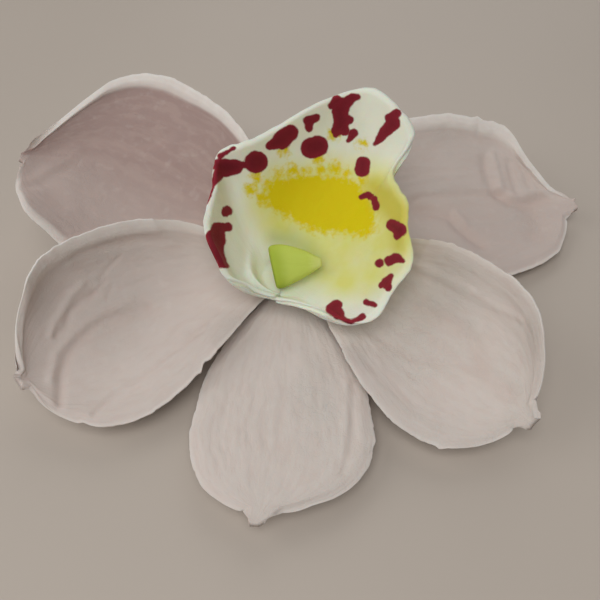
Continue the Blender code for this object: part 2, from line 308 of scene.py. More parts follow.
# Column: a flattened cone of paste that lies in the lip's foot with its tip to the right
COLUMN_PATH = (
    (-4.7, -7.0, 13.9), (-2.2, -6.5, 14.0), (0.6, -6.4, 14.2), (3.2, -6.5, 14.5), (5.8, -6.8, 14.9),
)
COLUMN_RADII = (5.4, 4.6, 3.5, 2.3, 1.0)
COLUMN_FACING = (0, -0.62, 0.78)
COLUMN_FLATNESS = 0.66
COLUMN_ROUNDING = 0.08
COLUMN_SIDES = 72
COLUMN_RINGS = 72
COLUMN_STEP = 0.01
LEAST_RING = 1e-12
COLUMN_SQUARENESS = 3.0
COLUMN_WAVE = 0.1
COLUMN_WAVE_SCALE = 3.5

# Crimson spots on the lip, where they show in the photograph: chains of pixels across, pixels down and radius
SHOULDER_STREAK = ((234, 148, 1.8), (220, 156, 3))
SHOULDER_BLOTCH = ((217, 165, 6), (226, 168, 9.5), (236, 167, 7.5))
SHOULDER_NECK = ((238, 165, 4), (247, 165, 3))
SHOULDER_ROUND = ((256, 162, 11.5), (257, 162, 11))
LEFT_TAIL = ((219, 174, 6), (213, 184, 3), (209, 193, 3.2), (206, 203, 2))
LEFT_SMALL = ((227, 211, 5.5), (226, 212, 5))
LEFT_TALL_TOP = ((216, 228, 5.5), (228, 227, 4.5))
LEFT_TALL = ((215, 238, 10), (214, 252, 10), (220, 261, 7), (227, 266, 2.5))
LEFT_TALL_JOIN = ((218, 229, 6), (218, 240, 8))
FAR_LONG = ((270, 146, 4.5), (282, 140, 9.5), (290, 133, 8.5))
FAR_SMALL = ((308, 121, 5), (316, 118, 4.5))
FAR_SMALL_FOOT = ((309, 121, 5), (309, 128, 4))
MIDDLE_ROUND = ((311, 148, 10.5), (318, 146, 10.5))
RAGGED_TOP = (
    (357, 97, 3.5), (352, 98, 4.5), (345, 104, 6.5), (340, 112, 8), (342, 122, 8), (337, 130, 5.5),
    (336, 135, 3),
)
RAGGED_TOP_LEFT = ((337, 100, 5.5), (331, 106, 3.5))
RAGGED_TOP_RIGHT = ((342, 118, 6), (350, 120, 4))
RAGGED_TOP_FOOT = ((342, 124, 6), (345, 131, 5))
TOP_CRUMB = ((354, 133, 4.5), (348, 141, 2.2))
WEDGE_TOP = ((397, 113, 4.5), (389, 118, 4.5), (393, 123, 7.5))
WEDGE = ((393, 123, 7.5), (386, 131, 6), (380, 138, 4.5), (375, 144, 2.5))
RIGHT_ROUND = ((363, 164, 7.5), (362, 170, 7.5))
HOOK = ((361, 197, 2.6), (368, 195, 3.4), (374, 199, 3.6), (376, 207, 3.8))
RIGHT_OVAL = ((392, 225, 6), (400, 230, 7), (397, 236, 4))
RIGHT_PAIR = ((389, 261, 5), (397, 258, 5), (403, 261, 2.5))
RIGHT_PAIR_MATE = ((379, 263.5, 4.5), (380, 263, 4))
RIGHT_TRIANGLE = ((391, 276, 3), (386, 283, 5.5), (388, 288, 4))
RIGHT_TRIANGLE_SIDE = ((386, 283, 4), (381, 285, 3))
LOWER_SMALL = ((366, 302, 3.3), (375, 305, 2.5))
COMMA = ((337, 305, 5.5), (331, 309, 5.5), (338, 313, 6.5))
COMMA_TAIL = ((338, 313, 5), (342, 318, 3), (351, 322.5, 2.2), (358, 319, 2.8), (363, 316.5, 3.4))
SPOTS = (
    SHOULDER_STREAK, SHOULDER_BLOTCH, SHOULDER_NECK, SHOULDER_ROUND, LEFT_TAIL, LEFT_SMALL, LEFT_TALL_TOP,
    LEFT_TALL_JOIN, LEFT_TALL, FAR_LONG, FAR_SMALL, FAR_SMALL_FOOT, MIDDLE_ROUND, RAGGED_TOP, RAGGED_TOP_LEFT,
    RAGGED_TOP_RIGHT, RAGGED_TOP_FOOT, TOP_CRUMB, WEDGE_TOP, WEDGE, RIGHT_ROUND, HOOK, RIGHT_OVAL, RIGHT_PAIR,
    RIGHT_PAIR_MATE, RIGHT_TRIANGLE, RIGHT_TRIANGLE_SIDE, LOWER_SMALL, COMMA, COMMA_TAIL,
)

# Yellow powder inside the lip, given in the same way, and loose specks of it
POWDER = ((282, 196, 17), (300, 198, 24), (320, 203, 29), (340, 205, 28), (353, 213, 22), (362, 222, 14))
POWDER_SOFTNESS = 5.0
SPECKS = (
    (251, 189, 6), (263, 199, 6), (270, 187, 7), (258, 179, 4), (280, 174, 5), (293, 170, 5), (335, 169, 6),
    (319, 159, 5), (283, 152, 4), (362, 144, 4), (333, 134, 4.5), (256, 175, 4), (362, 180, 5), (305, 172, 5),
    (346, 174, 4), (321, 171, 4),
)

# The fainter yellow round the powder, the yellow on the right rim, and the painted green shadow behind the
# column
GLOW = ((290, 205, 22), (330, 215, 38), (358, 225, 46), (350, 240, 40))
GLOW_SOFTNESS = 34.0
GLOW_EVENNESS = 0.4
RIM_YELLOW = ((374, 186, 8), (385, 200, 13), (397, 212, 13), (399, 232, 8), (398, 246, 4))
RIM_YELLOW_SOFTNESS = 9.0
COLUMN_SHADOW = ((274, 238, 5), (290, 240, 9), (306, 248, 8), (320, 258, 4))
COLUMN_SHADOW_SOFTNESS = 12.0
COLUMN_SHADOW_SHARE = 0.6

# The depth, in pixels, that stands for no paint at all
UNPAINTED = -30.0

# Paste surface: its mottling, drift, dust, chalk and crinkles in noise cells to a metre, and their detail
MOTTLE_SCALE = 55.0
DRIFT_SCALE = 160.0
DUST_SCALE = 420.0
CHALK_SCALE = 2600.0
CRINKLE_SCALE = 520.0
CRINKLE_TWIST = 0.8
LITTLE_DETAIL = 2.0
MORE_DETAIL = 3.0
MOST_DETAIL = 4.0

# The noise values at which each of them starts to show and shows in full
NOISE_MIDDLE = 0.5
STREAK_SHOWS = (0.42, 0.68)
CRINKLE_LINE = (0.06, 0.0)
CRINKLE_SHOWS = (0.45, 0.65)
GREY_SHOWS = (0.35, 0.75)
DUST_SHOWS = (0.55, 0.8)

# How strongly they stain and raise the surface, how dark the painted shade in grooves is, and how the paste
# takes light
DUST_SHARE = 0.1
VEIN_STAIN = 0.2
GROOVE_SHADE = 0.55
RIM_EVENNESS = 0.35
VEIN_BUMP = -0.22
CRINKLE_BUMP = -0.3
CHALK_BUMP = 0.2
DUST_BUMP = 0.3
BUMP_HEIGHT = 0.12 * MM
PASTE_ROUGHNESS = 0.7
CHALK_ROUGHNESS = 0.2
PASTE_SHINE = 0.25
PASTE_DEPTH = 0.15
LIP_DEPTH = 0.7
PASTE_GLOW = (1.0, 0.55, 0.4)
PASTE_GLOW_SCALE = 1.5 * MM

# How each kind of piece is streaked: how fine along, across and through it, and how much the streaks show
PETAL_STREAKS = (9.0, 30.0, 1.0)
STREAK_WOBBLE = 1.6
LIP_STREAKS = (70.0, 5.0, 1.0)
COLUMN_STREAKS = (24.0, 3.0, 1.0)
PAD_STREAKS = (300.0, 300.0, 60.0)
PETAL_VEINS = 1.0
LIP_VEINS = 0.7
COLUMN_VEINS = 0.5
PAD_VEINS = 0.6

# The painted edges: noise cells to a metre, and how far in pixels the noise scatters powder and spots
GLOW_SCALE = 160.0
POWDER_SCALE = 900.0
POWDER_SCATTER = 22.0
SPOT_SCALE = 700.0
SPOT_SCATTER = 3.0
SPOT_SOFTNESS = 0.9
SPOT_DEEP = 8.0

# The column's colour along it: a dark root painted as shade, turning to a pale tip
COLUMN_ROOT_SHADE_FADES = (0.0, 0.4)
COLUMN_TIP_SHOWS = (0.7, 1.0)

# Floor
FLOOR_SIZE = 3000 * MM
FLOOR_SCALE = 9.0
FLOOR_ROUGHNESS = 0.6

# Colours are linear RGB
BLUSH = (0.72, 0.645, 0.60)
BLUSH_PINK_SHADE = (0.42, 0.305, 0.28)
BLUSH_SHADE = (0.62, 0.49, 0.44)
BLUSH_GREY = (0.67, 0.615, 0.57)
BLUSH_RIM = (0.85, 0.80, 0.76)
LIP_PALE = (0.86, 0.885, 0.775)
LIP_SHADE = (0.77, 0.81, 0.64)
LIP_GREY = (0.82, 0.845, 0.74)
LIP_EDGE = (0.90, 0.91, 0.79)
POWDER_YELLOW = (0.76, 0.64, 0.003)
GLOW_YELLOW = (0.76, 0.76, 0.24)
SHADOW_GREEN = (0.42, 0.48, 0.20)
RIM_YELLOW_TONE = (0.66, 0.60, 0.10)
CRIMSON = (0.26, 0.014, 0.03)
CRIMSON_DEEP = (0.15, 0.007, 0.016)
LIME = (0.62, 0.74, 0.13)
LIME_DEEP = (0.42, 0.54, 0.05)
LIME_TIP = (0.70, 0.76, 0.24)
FLOOR_PALE = (0.56, 0.495, 0.435)
FLOOR_DIM = (0.51, 0.45, 0.395)

# Light: a weak even fill, and softboxes facing the bloom, each with its place in metres and power in watts
FILL_COLOUR = (1.0, 0.985, 0.96)
FILL_STRENGTH = 0.09
SOFTBOX_AIM = (0, 0, 0.01)
SOFTBOX_SIDE = 500 * MM
SOFTBOX_COLOUR = (1.0, 0.985, 0.965)
SOFTBOXES = (
    ((-0.05, -0.3, 0.62), 2.5),
    ((-0.5, 0, 0.35), 1.0),
    ((0.1, 0.5, 0.35), 0.85),
)


def project(points):
    """Where points in metres fall in the photograph, in pixels."""
    pitch = math.radians(CAMERA_PITCH)
    roll = math.radians(CAMERA_ROLL)
    ahead = np.array([0, math.cos(pitch), -math.sin(pitch)])
    up = np.array([0, math.sin(pitch), math.cos(pitch)])
    away = points / MM - np.array(CAMERA_AT)
    depth, across, above = away @ ahead, away[:, 0], away @ up
    aside = math.cos(roll) * across - math.sin(roll) * above
    upwards = math.sin(roll) * across + math.cos(roll) * above
    focal = CAMERA_LENS / SENSOR_WIDTH * PICTURE
    return np.stack([PICTURE / 2 + focal * aside / depth, PICTURE / 2 - focal * upwards / depth], axis=-1)


def through(values, s):
    """A smooth curve through three values, at the start, halfway and at the end."""
    start, middle, end = values
    return start * (1 - s) * (1 - 2 * s) + 4 * middle * s * (1 - s) + end * s * (2 * s - 1)


def smooth_step(x):
    x = np.clip(x, 0, 1)
    return x * x * (3 - 2 * x)


def smooth_path(points, u):
    """Points along a Catmull-Rom curve through the given points, for u from 0 to 1."""
    points = np.array(points, float)
    ends = np.concatenate([[2 * points[0] - points[1]], points, [2 * points[-1] - points[-2]]])
    place = np.clip(u, 0, 1) * (len(points) - 1)
    first = np.minimum(place.astype(int), len(points) - 2)
    f = (place - first)[:, None]
    before, start, end, after = (ends[first + k] for k in range(4))
    return 0.5 * (
        2 * start
        + (end - before) * f
        + (2 * before - 5 * start + 4 * end - after) * f**2
        + (3 * start - before - 3 * end + after) * f**3
    )


def soft_noise(x, y, seed):
    """Smooth noise between about -1 and 1 at each point, the same on every run."""
    return np.array([noise.noise(Vector((a, b, seed))) for a, b in zip(x, y)])


def crowded(x, share):
    """Moves values between -1 and 1 towards the two ends, so that the cells there are finer."""
    return x * (1 - share) + share * np.sin(x * np.pi / 2)


def chain_distance(x, y, chain):
    """The radius of a chain of (x, y, radius) less the distance to it: above zero inside the chain."""
    inside = np.full(len(x), -np.inf)
    for (x0, y0, r0), (x1, y1, r1) in zip(chain, chain[1:]):
        dx, dy = x1 - x0, y1 - y0
        f = np.clip(((x - x0) * dx + (y - y0) * dy) / (dx * dx + dy * dy), 0, 1)
        away = np.hypot(x - x0 - f * dx, y - y0 - f * dy)
        inside = np.maximum(inside, r0 + (r1 - r0) * f - away)
    return inside


def blade_half_width(s, half_width, widest, beak_root, blade_end):
    """Half the petal's width in millimetres at s along it: claw and blade, with the beak blended in."""
    widening = np.sin(np.clip(s / widest, 0, 1) * np.pi / 2) ** CLAW_EASE
    near = CLAW_HALF_WIDTH + (half_width - CLAW_HALF_WIDTH) * widening
    past = np.clip((s - widest) / (blade_end - widest), 0, 1)
    far = half_width * np.sqrt(1 - past**BLADE_BLUNTNESS)
    blade = np.where(s < widest, near, far)
    to_tip = np.clip((1 - s) / BEAK_SHARE, 0, 1)
    beak = BEAK_TIP_HALF_WIDTH + (beak_root - BEAK_TIP_HALF_WIDTH) * to_tip
    beak *= smooth_step((s - widest + BEAK_EASE) / (2 * BEAK_EASE))
    return (blade**BEAK_BLEND + beak**BEAK_BLEND) ** (1 / BEAK_BLEND)


def petal_axis(s, length, heading, rise, layer):
    """Points, directions and headings along the petal's curved middle line."""
    steps = np.linspace(0, 1, AXIS_STEPS + 1)
    mids = (steps[1:] + steps[:-1]) / 2

    def direction(at):
        turn = np.radians(through(heading, at))
        lift = np.radians(through(rise, at))
        return np.stack([np.cos(lift) * np.cos(turn), np.cos(lift) * np.sin(turn), np.sin(lift)], axis=-1)

    start_turn = np.radians(heading[0])
    start = np.array([CLAW_START * np.cos(start_turn), CLAW_START * np.sin(start_turn), layer])
    line = np.concatenate([[start], start + np.cumsum(direction(mids) * length / AXIS_STEPS, axis=0)])
    centre = np.stack([np.interp(s, steps, line[:, k]) for k in range(3)], axis=-1)
    return centre, direction(s), np.radians(through(heading, s))


def ragged_width(name, s, t, seed):
    """How far the torn rims stand out from the smooth outline in metres, fading to nothing further in."""
    side = np.where(t >= 0, 1.0, 2.0) + seed
    tear = soft_noise(s * RAGGED_SCALE, side, seed) * RAGGED_RIM
    tear += soft_noise(s * RAGGED_SCALE * FINER_TEARS, side, seed + FINER_TEAR_SEED) * RAGGED_RIM / 2
    nick = np.clip(soft_noise(s * NICK_SCALE, side + NICK_SEED, seed) - NICK_LEVEL, 0, 1)
    nick *= NICK_DEPTH / (1 - NICK_LEVEL)
    shift = (tear - nick) * smooth_step((np.abs(t) - RAGGED_FROM) / RAGGED_OVER) * smooth_step(s / BEND_EASE)
    for at_side, place, height, half_length in DENTS[name]:
        along = (s - place) * PETALS[name]["length"] / half_length
        shift += height * np.exp(-(along**2)) * smooth_step((t * at_side - DENT_FROM) / DENT_OVER)
    return shift * MM


def rim_distance(s, t, length, width):
    """How far each point is from the blade's rim or tip."""
    return np.minimum((1 - np.abs(t)) * width, (1 - s) * length)


def rolled_rim(name, s, t, width):
    """How far into the rounded edge each point is, from 0 to 1, its band's height, and its paleness with the
    painted highlight.
    """
    left = smooth_step((t + SIDE_EASE) / (2 * SIDE_EASE))
    (left_breadth, left_ridge), (right_breadth, right_ridge) = RIMS[name]
    breadth = right_breadth + (left_breadth - right_breadth) * left
    ridge = (right_ridge + (left_ridge - right_ridge) * left) * MM
    started = smooth_step(s * BAND_GROWTH - BAND_DELAY)
    grown = BAND_BREADTH_AT_CLAW + (1 - BAND_BREADTH_AT_CLAW) * started
    widest = RIM_SHARE_OF_WIDTH * width
    to_edge = (1 - np.abs(t)) * width
    fading = smooth_step((1 - s) / RIM_TIP_FADE)
    band = smooth_step(BAND_STEEPNESS * (1 - to_edge / np.minimum(breadth * grown * MM, widest))) * fading
    edge = np.clip(1 - to_edge / np.minimum(EDGE_BREADTH, widest), 0, 1) * fading
    pale = smooth_step((edge - EDGE_WHITE_FROM) / (1 - EDGE_WHITE_FROM))
    pale_and_highlight = band * ridge / HIGHEST_RIDGE * BAND_HIGHLIGHT + EDGE_WHITENESS * pale
    return edge, ridge * band * started, pale_and_highlight


def petal_relief(name, s, t, length, width, seed):
    """Waves, veins, wrinkles, midrib and creases in millimetres, and each point's groove depth for painted
    shade.
    """
    x, y = s * length / MM, t * width / MM
    to_edge = rim_distance(s, t, length, width)
    inland = smooth_step(to_edge / INLAND) * smooth_step(s / BEND_EASE)
    wave = WAVE * soft_noise(s * WAVE_SCALE[0], t * WAVE_SCALE[1], seed)
    vein = VEIN * soft_noise(s * VEIN_SCALE[0], t * VEIN_SCALE[1], seed + VEIN_SEED)
    vein += VEIN / 2 * soft_noise(s * VEIN_SCALE[0], t * VEIN_SCALE[1] * FINER_VEINS, seed + FINER_VEIN_SEED)
    wrinkle = WRINKLE * soft_noise(s * WRINKLE_SCALE[0], t * WRINKLE_SCALE[1], seed + WRINKLE_SEED)
    midrib = MIDRIB * np.exp(-((y / MIDRIB_WIDTH) ** 2)) * np.clip(MIDRIB_END - s, 0, 1)
    relief = (wave + (vein + wrinkle) * smooth_step((1 - s) / VEINS_END) - midrib) * inland
    groove_shade = midrib * inland
    for height, half_width, line in CREASES[name]:
        ends = smooth_step(to_edge / CREASE_END)
        fold = np.exp(-((chain_distance(x, y, crease_chain(name, line)) / half_width) ** 2)) * ends
        relief += height * fold
        groove_shade += np.maximum(-height, 0) * fold
    return relief * MM, groove_shade


def crease_chain(name, line):
    """A crease's points in millimetres along and across the blade laid flat, as a chain without width."""
    values = PETALS[name]
    along, across = np.array(line).T
    return [(s * values["length"], t * w, 0) for s, t, w in zip(along, across, petal_width(name, along))]


def petal_width(name, s):
    """Half the named petal's width in millimetres at s along it."""
    values = PETALS[name]
    return blade_half_width(s, values["half_width"], values["widest"], values["beak"][0], BLADE_ENDS[name])


def petal_sheet(name, s, t, tear):
    """The petal's bent and cupped sheet before any relief, widened everywhere by tear, in metres."""
    values = PETALS[name]
    length, roll, beak = values["length"] * MM, values["roll"], values["beak"]
    centre, ahead, turn = petal_axis(s, length, values["heading"], values["rise"], values["layer"])
    left = np.stack([-np.sin(turn), np.cos(turn), np.zeros_like(turn)], axis=-1)
    up = np.cross(ahead, left)
    rolled = np.radians(roll[0] + (roll[1] - roll[0]) * s) * smooth_step(s / BEND_EASE)
    side = left * np.cos(rolled)[:, None] + up * np.sin(rolled)[:, None]
    out = up * np.cos(rolled)[:, None] - left * np.sin(rolled)[:, None]
    torn = petal_width(name, s) * MM + tear
    turned = np.radians(np.where(t >= 0, *values["cup"])) * np.clip(s / CUP_EASE, 0, 1)
    turned *= 1 - BEAK_OPENING * smooth_step((s - BEAK_OPENS_FROM) / (1 - BEAK_OPENS_FROM))
    turned = np.where(np.abs(turned) < LEAST_CUP, LEAST_CUP, turned)
    across = np.sign(t) * torn * np.sin(np.abs(t) * turned) / turned
    across += beak[1] * MM * np.clip((s - BEAK_BEND_FROM) / (1 - BEAK_BEND_FROM), 0, 1) ** 2
    height = torn * (1 - np.cos(np.abs(t) * turned)) / turned
    to_rim = np.clip((np.abs(t) - RIM_LIFT_FROM) / (1 - RIM_LIFT_FROM), 0, 1)
    along = smooth_step(s / BEND_EASE) * smooth_step((1 - s) / RIM_LIFT_FADE)
    to_tip = np.clip((s - TIP_LIFT_FROM) / (1 - TIP_LIFT_FROM), 0, 1)
    left_lift, right_lift, tip_lift = values["rim_lift"]
    height += MM * np.where(t >= 0, left_lift, right_lift) * to_rim**2 * along
    height += MM * tip_lift * to_tip**2
    return centre + side * across[:, None] + out * height[:, None]


def petal_points(name, s, t, seed):
    """The petal's upper face, how thinned each point is, its paleness with painted highlight, and its groove
    depth for painted shade.

    s runs from claw to tip, and t from the right rim, -1, to the left, 1.
    """
    length, width = PETALS[name]["length"] * MM, petal_width(name, s) * MM
    tear = ragged_width(name, s, t, seed)
    further, nearer = np.minimum(s + FACING_STEP, 1), np.maximum(s - FACING_STEP, 0)
    lefter, righter = np.minimum(t + FACING_STEP, 1), np.maximum(t - FACING_STEP, -1)
    ahead = petal_sheet(name, further, t, tear) - petal_sheet(name, nearer, t, tear)
    left = petal_sheet(name, s, lefter, tear) - petal_sheet(name, s, righter, tear)
    facing = np.cross(ahead, left)
    facing /= np.linalg.norm(facing, axis=1)[:, None]
    relief, groove_shade = petal_relief(name, s, t, length, width, seed)
    edge, ridge, pale_and_highlight = rolled_rim(name, s, t, width)
    thinning = (1 - RIM_THINNESS) * edge**2
    raised = relief + ridge - PETAL_THICKNESS * thinning
    return petal_sheet(name, s, t, tear) + facing * raised[:, None], thinning, pale_and_highlight, groove_shade


def lip_points(u, v):
    """The lip's inner face, how thinned each point is, and how near the rim.

    u runs round from the slit's left edge to its right, and v up to the rim.
    """
    inward = np.clip(1 - v / LIP_FLOOR_SHARE, 0, 1) * (1 - LIP_FLOOR_HOLE)
    v = np.clip((v - LIP_FLOOR_SHARE) / (1 - LIP_FLOOR_SHARE), 0, 1)
    round_foot = np.radians(LIP_FOOT_FROM + (LIP_FOOT_TO - LIP_FOOT_FROM) * u)
    spread = LIP_FOOT_SPREAD * u**2
    foot_x = LIP_FOOT[0] + (LIP_FOOT_RADII[0] + spread) * (1 - inward) * np.cos(round_foot)
    foot_y = LIP_FOOT[1] + (LIP_FOOT_RADII[1] + spread) * (1 - inward) * np.sin(round_foot)
    foot = np.stack([foot_x, foot_y, np.full_like(u, LIP_FOOT_HEIGHT)], axis=-1)
    reach = smooth_path(LIP_RIM, u) * MM - foot
    flat = np.hypot(reach[:, 0], reach[:, 1])
    length = np.linalg.norm(reach, axis=1)
    outward = np.stack([reach[:, 0] / flat, reach[:, 1] / flat, np.full_like(u, -LIP_BELLY_DROP)], axis=-1)
    belly = LIP_BELLY * length * np.sin(np.pi * v)
    ruffle = LIP_RUFFLE * v**3 * np.sin(2 * np.pi * LIP_RUFFLES * u) * np.sqrt(np.sin(np.pi * u))
    wave = LIP_WAVE * soft_noise(u * LIP_WAVE_SCALE[0], v * LIP_WAVE_SCALE[1], LIP_WAVE_SEED)
    wave *= smooth_step(v / LIP_WAVE_FULL_AT)
    vein = LIP_VEIN * soft_noise(u * LIP_VEIN_SCALE[0], v * LIP_VEIN_SCALE[1], LIP_VEIN_SEED)
    vein *= smooth_step(v / LIP_VEIN_FULL_AT)
    tear = RAGGED_RIM * soft_noise(u * FINER_TEARS * RAGGED_SCALE, v, LIP_TEAR_SEED)
    tear *= smooth_step((v - RAGGED_FROM) / RAGGED_OVER)
    near = np.clip(1 - (1 - v) * length / LIP_RIM_BREADTH, 0, 1)
    thinning = (1 - RIM_THINNESS) * near**3
    fold_u, fold_v = (u - LIP_FOLD_AT[0]) / LIP_FOLD_SIZE[0], (v - LIP_FOLD_AT[1]) / LIP_FOLD_SIZE[1]
    fold = LIP_FOLD * np.exp(-(fold_u**2) - fold_v**2)
    shift = belly + ruffle + (wave + vein) * MM + LIP_THICKNESS * thinning
    along = (v + np.where(length > 0, tear * MM / length, 0))[:, None]
    points = foot + reach * along + outward * shift[:, None]
    points[:, 2] += fold
    return points, thinning, near


def new_plain(name, kind, **sizes):
    """A new basic mesh by itself at the origin."""
    bpy.ops.object.select_all(action="DESELECT")
    getattr(bpy.ops.mesh, kind)(**sizes)
    thing = bpy.context.object
    thing.name = name
    return thing


def new_sheet(name, cells):
    """A flat grid that runs from -1 to 1 both ways, and its vertices' places."""
    sheet = new_plain(name, "primitive_grid_add", x_subdivisions=cells[0], y_subdivisions=cells[1], size=2)
    return sheet, vertex_places(sheet.data)


def vertex_places(mesh):
    places = np.empty(len(mesh.vertices) * 3)
    mesh.vertices.foreach_get("co", places)
    return places.reshape(-1, 3)


def move_vertices(mesh, points):
    mesh.vertices.foreach_set("co", points.ravel())
    mesh.update()


def keep_values(mesh, name, values):
    """Stores one number for each vertex, for the materials to read."""
    mesh.attributes.new(name, "FLOAT", "POINT").data.foreach_set("value", np.asarray(values, np.float32))


def thicken(sheet, thickness, thinning):
    """Gives a sheet its thickness below, thinner at its rims, and returns a mask of its upper vertices."""
    upper = vertex_places(sheet.data)
    group = sheet.vertex_groups.new(name="thickness")
    for index, thinned in enumerate(thinning):
        group.add([index], 1 - float(thinned), "REPLACE")
    walls = sheet.modifiers.new("thickness", "SOLIDIFY")
    walls.thickness = thickness
    walls.offset = -1
    walls.use_even_offset = False
    walls.vertex_group = "thickness"
    bpy.ops.object.modifier_apply(modifier="thickness")
    halves = vertex_places(sheet.data).reshape(2, -1, 3)
    first_is_upper = np.abs(halves[0] - upper).sum() < np.abs(halves[1] - upper).sum()
    return np.repeat([first_is_upper, not first_is_upper], len(upper))


def finish_piece(piece, node, material):
    """Gives a piece its material and puts it in the place of the frame's node."""
    piece.data.materials.clear()
    piece.data.materials.append(material)
    piece.data.shade_smooth()
    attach(piece, "root")
    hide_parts(node)


def spread_out(depth):
    """Fades a depth in pixels from 1 inside to 0 a few pixels outside."""
    return smooth_step(1 + depth / CONTACT_SOFTNESS)


def new_petal(name, seed, material):
    petal, flat = new_sheet(name + "_paste", PETAL_CELLS)
    s = np.clip(crowded(flat[:, 0] / 2 + 0.5, TIP_CROWDING), 0, 1)
    t = crowded(flat[:, 1], RIM_CROWDING)
    points, thinning, pale_and_highlight, groove_shade = petal_points(name, s, t, seed)
    across, down = project(points).T
    # Painted shade on the left sepal where the left petal lies on it
    contact_shade = spread_out(chain_distance(across, down, CONTACT)) if name == "lateral_sepal_left" else 0
    # Painted pink shade, fading towards the left rim and off the pale bands
    shade_fading = 1 - PINK_FADE * smooth_step((t - PINK_FADES_FROM) / PINK_FADES_OVER)
    off_band = 1 - smooth_step(pale_and_highlight * PINK_OFF_BAND)
    move_vertices(petal.data, points)
    thicken(petal, PETAL_THICKNESS, thinning)
    # Pale rims, with the painted highlight on the raised bands
    keep_values(petal.data, "rim", np.tile(pale_and_highlight, 2))
    # Painted shade in the grooves and where the left petal lies on the left sepal
    keep_values(petal.data, "groove_shade", np.tile(np.clip(groove_shade + contact_shade, 0, 1), 2))
    keep_values(petal.data, "pink_shade", np.tile(PINK_SHADE_SHARE[name] * shade_fading * off_band, 2))
    finish_piece(petal, name, material)


def spot_depth(across, down):
    """How deep inside a crimson spot each place in the photograph is, in pixels."""
    return np.max([chain_distance(across, down, spot) for spot in SPOTS], axis=0)


def powder_depth(across, down):
    """How deep inside the yellow powder or a speck of it each place in the photograph is, in pixels."""
    specks = [radius - np.hypot(across - x, down - y) for x, y, radius in SPECKS]
    return np.max([chain_distance(across, down, POWDER), *specks], axis=0)


def new_lip(material):
    lip, flat = new_sheet("lip_paste", LIP_CELLS)
    u = flat[:, 0] / 2 + 0.5
    v = np.clip(crowded(flat[:, 1] / 2 + 0.5, TIP_CROWDING), 0, 1)
    points, thinning, near = lip_points(u, v)
    move_vertices(lip.data, points)
    upper = thicken(lip, LIP_THICKNESS, thinning)
    across, down = project(vertex_places(lip.data)).T
    painted = upper | (np.tile(near, 2) > 0)
    keep_values(lip.data, "spot", np.where(painted, spot_depth(across, down), UNPAINTED))
    keep_values(lip.data, "powder", np.where(upper, powder_depth(across, down), UNPAINTED))
    keep_values(lip.data, "glow", chain_distance(across, down, GLOW))
    keep_values(lip.data, "rim yellow", chain_distance(across, down, RIM_YELLOW))
    # Painted green shadow behind the column, on the upper face only
    keep_values(lip.data, "column_shadow", np.where(upper, chain_distance(across, down, COLUMN_SHADOW), UNPAINTED))
    keep_values(lip.data, "rim", np.tile(near, 2))
    finish_piece(lip, "lip", material)


def new_column(material):
    """A sphere drawn out along the column's path, its rings swollen to the column's radii."""
    ball_sizes = {"segments": COLUMN_SIDES, "ring_count": COLUMN_RINGS, "radius": 1}
    column = new_plain("column_paste", "primitive_uv_sphere_add", **ball_sizes)
    ball = vertex_places(column.data)
    from_root = np.arccos(np.clip(-ball[:, 2], -1, 1)) / np.pi
    centre = smooth_path(COLUMN_PATH, from_root) * MM
    behind = smooth_path(COLUMN_PATH, from_root - COLUMN_STEP)
    ahead = smooth_path(COLUMN_PATH, from_root + COLUMN_STEP) - behind
    ahead /= np.linalg.norm(ahead, axis=1)[:, None]
    side = np.cross(ahead, COLUMN_FACING)
    side /= np.linalg.norm(side, axis=1)[:, None]
    back = np.cross(ahead, side)
    swell = np.interp(from_root, np.linspace(0, 1, len(COLUMN_RADII)), COLUMN_RADII) * MM
    round_off = np.sin(np.pi * from_root) ** COLUMN_ROUNDING
    turned = np.abs(ball[:, :2]) ** COLUMN_SQUARENESS
    ring = ball[:, :2] / np.maximum(turned.sum(axis=1), LEAST_RING)[:, None] ** (1 / COLUMN_SQUARENESS)
    along_ball = ball[:, 1] * COLUMN_WAVE_SCALE + ball[:, 2]
    wave = soft_noise(ball[:, 0] * COLUMN_WAVE_SCALE, along_ball, COLUMN_SEED)
    across = side * ring[:, :1] + back * ring[:, 1:] * COLUMN_FLATNESS
    points = centre + across * (swell * round_off + COLUMN_WAVE * MM * wave * round_off)[:, None]
    move_vertices(column.data, points)
    finish_piece(column, "column", material)


def put(tree, kind, inputs, **settings):
    """A new shader node with its settings, and its inputs linked or set."""
    made = tree.nodes.new(kind)
    for key, value in settings.items():
        setattr(made, key, value)
    for key, value in inputs.items():
        if isinstance(value, bpy.types.NodeSocket):
            tree.links.new(value, made.inputs[key])
        elif made.inputs[key].type == "RGBA":
            made.inputs[key].default_value = (*value, 1.0)
        else:
            made.inputs[key].default_value = value
    return made


def maths(tree, operation, one, two):
    return put(tree, "ShaderNodeMath", {0: one, 1: two}, operation=operation).outputs[0]


def spread(tree, value, low, high):
    """A soft step from 0 at low to 1 at high."""
    inputs = {"Value": value, "From Min": low, "From Max": high}
    return put(tree, "ShaderNodeMapRange", inputs, interpolation_type="SMOOTHSTEP").outputs[0]


def mixed(tree, share, one, two):
    """Colour one, with its share of colour two mixed in."""
    return put(tree, "ShaderNodeMix", {0: share, 6: one, 7: two}, data_type="RGBA").outputs[2]


def grain(tree, place, scale, detail):
    inputs = {"Vector": place, "Scale": scale, "Detail": detail}
    return put(tree, "ShaderNodeTexNoise", inputs).outputs["Fac"]


def scattered(tree, place, scale, detail, breadth):
    """Noise on both sides of zero, breadth from end to end."""
    level = maths(tree, "SUBTRACT", grain(tree, place, scale, detail), NOISE_MIDDLE)
    return maths(tree, "MULTIPLY", level, breadth)


def stored(tree, name):
    return put(tree, "ShaderNodeAttribute", {}, attribute_name=name).outputs["Fac"]


def coordinates(tree, kind):
    return put(tree, "ShaderNodeTexCoord", {}).outputs[kind]


def streaks(tree, scale):
    """The piece's own flat map, drawn out so that noise on it runs in streaks."""
    flat = coordinates(tree, "UV")
    return put(tree, "ShaderNodeMapping", {"Vector": flat, "Scale": scale}).outputs[0]


